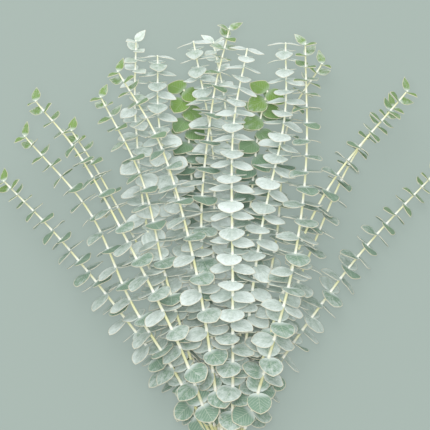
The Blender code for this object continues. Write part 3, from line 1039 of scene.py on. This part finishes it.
def leaf_material(name, patchiness, roughness, frost, veining):
    """Wax bloom over green, by each leaf's own share of bloom and youth. Frost is how white
    the leaf is at its root, and veining how pale its veins are."""
    material, tree, shader = new_material(name, roughness)
    uv = add_node(tree, "ShaderNodeUVMap", {}, uv_map="leaf")
    green = mix_colours(tree, attribute(tree, "youth"), OLD_LEAF, YOUNG_LEAF)
    rim = attribute(tree, "rim")
    share = attribute(tree, "bloom")
    seed = times(tree, share, SEEDS_OF_STREAKS)
    veins = placed_group(tree, VEINS, UV=uv.outputs["UV"], Rim=rim, Seed=seed)
    # Painted shade towards the root of each leaf, by bloom that grows towards the rim.
    painted_root_shade = math_node(tree, "SUBTRACT", rim, 0.6)
    under = attribute(tree, "under")
    amount = share
    for change, strength in (
        (painted_root_shade, PAINTED_SHADE_AT_ROOT),
        (under, -LESS_UNDERNEATH),
        (veins.outputs["Streaks"], SHARE_OF_STREAKS),
    ):
        amount = plus(tree, amount, times(tree, change, strength))
    bloom = placed_group(
        tree, BLOOM, Vector=object_place(tree), Amount=amount, Patchiness=patchiness
    )
    parts = add_node(tree, "ShaderNodeSeparateXYZ", {0: uv.outputs["UV"]})
    base = ramp_between(tree, parts.outputs["X"], 0.0, FROSTED_ROOT, frost, 0.0)
    wax = math_node(tree, "MAXIMUM", bloom.outputs["Bloom"], base)
    wax_colour = mix_colours(tree, under, BLOOM_COLOUR, BLOOM_UNDER)
    colour = mix_colours(tree, wax, green, wax_colour)
    vein_share = times(tree, veins.outputs["Veins"], veining)
    colour = mix_colours(tree, vein_share, colour, VEIN_COLOUR)
    rim_share = times(tree, veins.outputs["Rim"], SHARE_OF_RIM)
    colour = mix_colours(tree, rim_share, colour, RIM_COLOUR)
    tree.links.new(colour, shader.inputs["Base Color"])
    shader.inputs["Specular IOR Level"].default_value = 0.2
    height = times(tree, veins.outputs["Veins"], -1.0)
    add_bump(tree, shader, height, 0.35, VEIN_DEPTH)
    return material


SILVER_LEAF = leaf_material(
    "silver_leaf", patchiness=1.0, roughness=0.7, frost=0.6, veining=0.28
)
GREEN_LEAF = leaf_material(
    "green_leaf", patchiness=0.6, roughness=0.5, frost=0.15, veining=0.12
)

# %% [markdown]
# ## All the leaves of a branch
#
# One mesh holds all the leaves of one branch. The template is copied in once for each leaf, the
# corners are then set to the bent leaves, and each leaf's tone is written as attributes.


# %% Tones of a leaf
# Bloom down the bunch, partly real wax and partly painted light: white in the middle of the
# bunch, as a painted highlight, and less on the low leaves, as painted shade.
BLOOM_PLACES = (0, 0.15, 0.5, 0.75, 1)
BLOOM_WITH_PAINTED_SHADE = {
    "silver": (0.25, 0.5, 0.82, 0.22, 0.14),
    "white": (0.95, 1.0, 0.95, 0.28, 0.16),
    "broad": (0.95, 1.0, 0.95, 0.24, 0.14),
    "green": (0.0, 0.05, 0.4, 0.25, 0.14),
}
SPREAD_OF_BLOOM = 0.16
LESS_AT_THE_SIDES = 0.28
# Painted shade: the leaves that point up get less bloom, so they show darker green.
PAINTED_SHADE_ON_TOP = {"silver": 0.8, "white": 0.2, "broad": 0.4, "green": 0.0}
WIDTH_OF_FAN = 280 * MM
FRESH_BELOW = 0.6
SHARP_EDGE = 50


def bloom_with_painted_shade_of(leaf, branch, down, draw):
    """How much bloom a leaf has, with painted light and shade in it. The middle of the bunch has
    the most, partly as a painted highlight. The low leaves have less, partly as painted shade,
    and the outer branches and the green young tips have less. The leaves that point up are
    given less, as painted shade on them."""
    amount = float(np.interp(down, BLOOM_PLACES, BLOOM_WITH_PAINTED_SHADE[branch.leaves]))
    amount -= LESS_AT_THE_SIDES * min(1.0, abs(leaf.root.x) / WIDTH_OF_FAN)
    # Painted shade on the leaves that point up.
    painted_shade_on_top = PAINTED_SHADE_ON_TOP[branch.leaves] * max(0.0, leaf_axes(leaf)[0].z) ** 2
    amount -= painted_shade_on_top * (1 - 0.6 * down)
    amount += draw.uniform(-1, 1) * SPREAD_OF_BLOOM
    return min(1.0, max(0.0, amount))


def youth_of(leaf, branch, down, draw):
    """How fresh a green a leaf is, most at the tips and on the green branches."""
    fresh = 1 - leaf.grown / FRESH_BELOW
    if branch.leaves == "green":
        fresh = 1.1 - 5.5 * down
    return min(1.0, max(0.05, fresh + draw.uniform(-0.1, 0.1)))


# %% Build the leaves
def finish_mesh(mesh, tones):
    """Writes the tones of each corner into the mesh, and shades its curved parts smooth."""
    for tone, values in tones.items():
        layer = mesh.attributes.get(tone) or mesh.attributes.new(tone, "FLOAT", "POINT")
        layer.data.foreach_set("value", np.array(values, dtype=np.float32))
    mesh.update()
    mesh.shade_smooth()
    mesh.set_sharp_from_angle(angle=math.radians(SHARP_EDGE))
    return mesh


def leaves_mesh(name, branch, length, leaves, draw):
    """One mesh of all the leaves of a branch of that length, with their tones."""
    bm = bmesh.new()
    points = []
    tones = {"rim": [], "under": [], "bloom": [], "youth": []}
    for leaf in leaves:
        kind = kind_of(leaf, branch)
        bm.from_mesh(TEMPLATES[kind])
        corners, rim = ARRAYS[kind]
        points.append(bent_leaf(leaf, kind, draw))
        tones["rim"].append(rim)
        tones["under"].append((corners[:, 2] < 0).astype(float))
        down = 1 - leaf.run / length
        tones["bloom"].append(np.full(len(rim), bloom_with_painted_shade_of(leaf, branch, down, draw)))
        tones["youth"].append(np.full(len(rim), youth_of(leaf, branch, down, draw)))
    mesh = bpy.data.meshes.new(name)
    bm.to_mesh(mesh)
    bm.free()
    mesh.vertices.foreach_set("co", (np.concatenate(points) + np.array(TIE_MIDDLE)).ravel())
    return finish_mesh(mesh, {tone: np.concatenate(tones[tone]) for tone in tones})


def dress(name, mesh, material, node):
    """A finished piece of the bunch, in place of a solid node."""
    mesh.materials.clear()
    mesh.materials.append(material)
    piece = new_object(name, mesh)
    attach(piece, "root")
    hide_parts(node)
    return piece


def shifted_to_curve(leaf, route):
    """The leaf moved from the straight stretches to the smooth stem, less than a millimetre."""
    return replace(leaf, root=leaf.root + route.on_curve(leaf.run)[0] - route.at(leaf.run)[0])


draw = random.Random(SEED)
for name, (branch, route) in ROUTES.items():
    leaves = [shifted_to_curve(leaf, route) for leaf in FITTED[name]]
    mesh = leaves_mesh(name + "_leaves", branch, route.length, leaves, draw)
    silver = branch.leaves != "green"
    dress(
        name + "_leaves",
        mesh,
        SILVER_LEAF if silver else GREEN_LEAF,
        name,
    )
    print(name, "leaves", len(leaves), "faces", len(mesh.polygons))

# %% [markdown]
# ## The stems
#
# A young stem is smooth and round, thickens at each node where the leaves sit, and is dusted
# white there. Between the nodes it is pale yellow green, and more olive down by the cut, where
# hands have rubbed most of the dust off. It could be lofted from rings, but a curve with a bevel
# makes the same tube more simply, because each point can have its own radius.

# %% Stem shape
STEM_STEP = 2 * MM
NODE_SWELLING = 0.3
FROST_ABOVE = 6 * MM
FROST_BELOW = 1.5 * MM
SCAR_GAP = 27 * MM


def node_runs(name):
    """The lengths along a stem where its leaf pairs sit, and on down the bare part."""
    runs = sorted({leaf.run for leaf in PLANNED[name]}, reverse=True)
    while runs[-1] > SCAR_GAP:
        runs.append(runs[-1] - SCAR_GAP)
    return np.array(runs)


def nearness_to_node(run, nodes):
    """One at a node, fading out slowly above it and at once below it, as the frost does."""
    above = run - nodes
    fading = np.where(above > 0, above / FROST_ABOVE, -above / FROST_BELOW)
    return float(np.exp(-np.min(fading)))


def stem_tube(name, route):
    """The smooth stem as a mesh, and the run and node nearness of each of its corners."""
    nodes = node_runs(name)
    steps = int(route.length / STEM_STEP)
    runs = [route.length * i / steps for i in range(steps + 1)]
    curve = tube_curve(name, 1.0, 3)
    curve.twist_mode = "Z_UP"
    spline = curve.splines.new("POLY")
    spline.points.add(len(runs) - 1)
    centres = KDTree(len(runs))
    for i, (point, run) in enumerate(zip(spline.points, runs)):
        place = route.on_curve(run)[0] + TIE_MIDDLE
        point.co = (*place, 1)
        point.radius = route.radius(run) * (1 + NODE_SWELLING * nearness_to_node(run, nodes) ** 2)
        centres.insert(place, i)
    centres.balance()
    mesh = mesh_of_curve(name, curve)
    bm = bmesh.new()
    bm.from_mesh(mesh)
    bmesh.ops.remove_doubles(bm, verts=bm.verts[:], dist=0.01 * MM)
    bmesh.ops.recalc_face_normals(bm, faces=bm.faces[:])
    bm.to_mesh(mesh)
    bm.free()
    nearest = [runs[centres.find(v.co)[1]] for v in mesh.vertices]
    tones = {
        "frost": [nearness_to_node(run, nodes) for run in nearest],
        "height": [run / route.length for run in nearest],
    }
    return finish_mesh(mesh, tones)


# %% Stem material
STEM_HIGH = rgb(224, 226, 134)
STEM_LOW = rgb(172, 176, 74)
STEM_FROST = rgb(244, 248, 238)
STEM_BARK = rgb(142, 128, 78)
STEM_PITH = rgb(226, 220, 182)


def stretched(tree, vector, scale):
    """The vector with each of its axes scaled, to draw a noise out along one of them."""
    inputs = {"Vector": vector, "Scale": scale}
    return add_node(tree, "ShaderNodeMapping", inputs).outputs["Vector"]


def stem_material():
    """Yellow green bark with frosted nodes and thin olive streaks, and pith at the cut."""
    material, tree, shader = new_material("stem", 0.5)
    height = attribute(tree, "height")
    climb = ramp_between(tree, height, 0.1, 0.55)
    bare = mix_colours(tree, climb, STEM_LOW, STEM_HIGH)
    frost = attribute(tree, "frost")
    dust = plus(tree, times(tree, frost, 0.9), 0.12)
    rubbed = ramp_between(tree, height, 0.09, 0.2, 0.35, 1.0)
    dust = times(tree, dust, rubbed)
    bloom = placed_group(
        tree, BLOOM, Vector=object_place(tree), Amount=dust, Patchiness=0.5
    )
    colour = mix_colours(tree, bloom.outputs["Bloom"], bare, STEM_FROST)
    streaks = noise(tree, stretched(tree, object_place(tree), (1.0, 0.12, 1.0)), 900.0, 2.0, 0.6)
    low = ramp_between(tree, height, 0.15, 0.45, 0.55, 0.12)
    bark = times(tree, ramp_between(tree, streaks, 0.52, 0.68), low)
    colour = mix_colours(tree, bark, colour, STEM_BARK)
    cut = ramp_between(tree, height, 0.0002, 0.0008, 1.0, 0.0)
    colour = mix_colours(tree, cut, colour, STEM_PITH)
    tree.links.new(colour, shader.inputs["Base Color"])
    return material


STEM = stem_material()
for name, (branch, route) in ROUTES.items():
    mesh = stem_tube(name, route)
    slot = "green_leaf" if branch.leaves == "green" else "silver_leaf"
    dress(name + "_stem", mesh, STEM, name)
print("faces of one stem:", len(mesh.polygons))

# %% [markdown]
# ## The tie
#
# Two-ply jute twine, wound four times round the stems. A plain coil would be simpler, but the
# eye knows twine by its two plies. So each ply is a tube that runs round the other along a
# helix, and the pair follows the turns side by side.

# %% Twine shape
PLY_RADIUS = 0.28 * TWINE
PLY_OFFSET = 0.22 * TWINE
PLY_TWISTS_PER_TURN = 22
PLY_STEPS_PER_TURN = 220
TURN_RADIUS = -TABLE - PLY_RADIUS - PLY_OFFSET
START_OF_TWINE = 0.5
CLOSENESS_OF_TURNS = 0.9


def twine_mesh():
    """Both plies of the twine as one mesh of tubes."""
    curve = tube_curve("twine", PLY_RADIUS, 2)
    steps = PLY_STEPS_PER_TURN * TWINE_TURNS
    for half_turn in (0, math.pi):
        spline = curve.splines.new("POLY")
        spline.points.add(steps)
        for i, point in enumerate(spline.points):
            turn = TWINE_TURNS * i / steps
            angle = 2 * math.pi * turn + START_OF_TWINE
            twist = 2 * math.pi * PLY_TWISTS_PER_TURN * turn + half_turn
            along = (turn - TWINE_TURNS / 2) * TWINE * CLOSENESS_OF_TURNS
            radius = TURN_RADIUS + PLY_OFFSET * math.cos(twist)
            y = along + PLY_OFFSET * math.sin(twist)
            place = Vector((radius * math.sin(angle), y, radius * math.cos(angle)))
            point.co = (*(place + TIE_MIDDLE), 1)
    mesh = mesh_of_curve("twine", curve)
    mesh.shade_smooth()
    return mesh


# %% Twine material
JUTE_LIGHT = rgb(190, 156, 108)
JUTE_DARK = rgb(128, 96, 58)
FIBRE_DEPTH = 0.3 * MM


def twine_material():
    """Matt jute with fine darker fibres."""
    material, tree, shader = new_material("jute_twine", 0.9)
    fibres = noise(tree, object_place(tree), 2600.0, 3.0, 0.7)
    colour = mix_colours(tree, fibres, JUTE_DARK, JUTE_LIGHT)
    tree.links.new(colour, shader.inputs["Base Color"])
    add_bump(tree, shader, fibres, 0.6, FIBRE_DEPTH)
    return material


tie = dress("twine_tie", twine_mesh(), twine_material(), "tie")
print("faces of the tie:", len(tie.data.polygons))
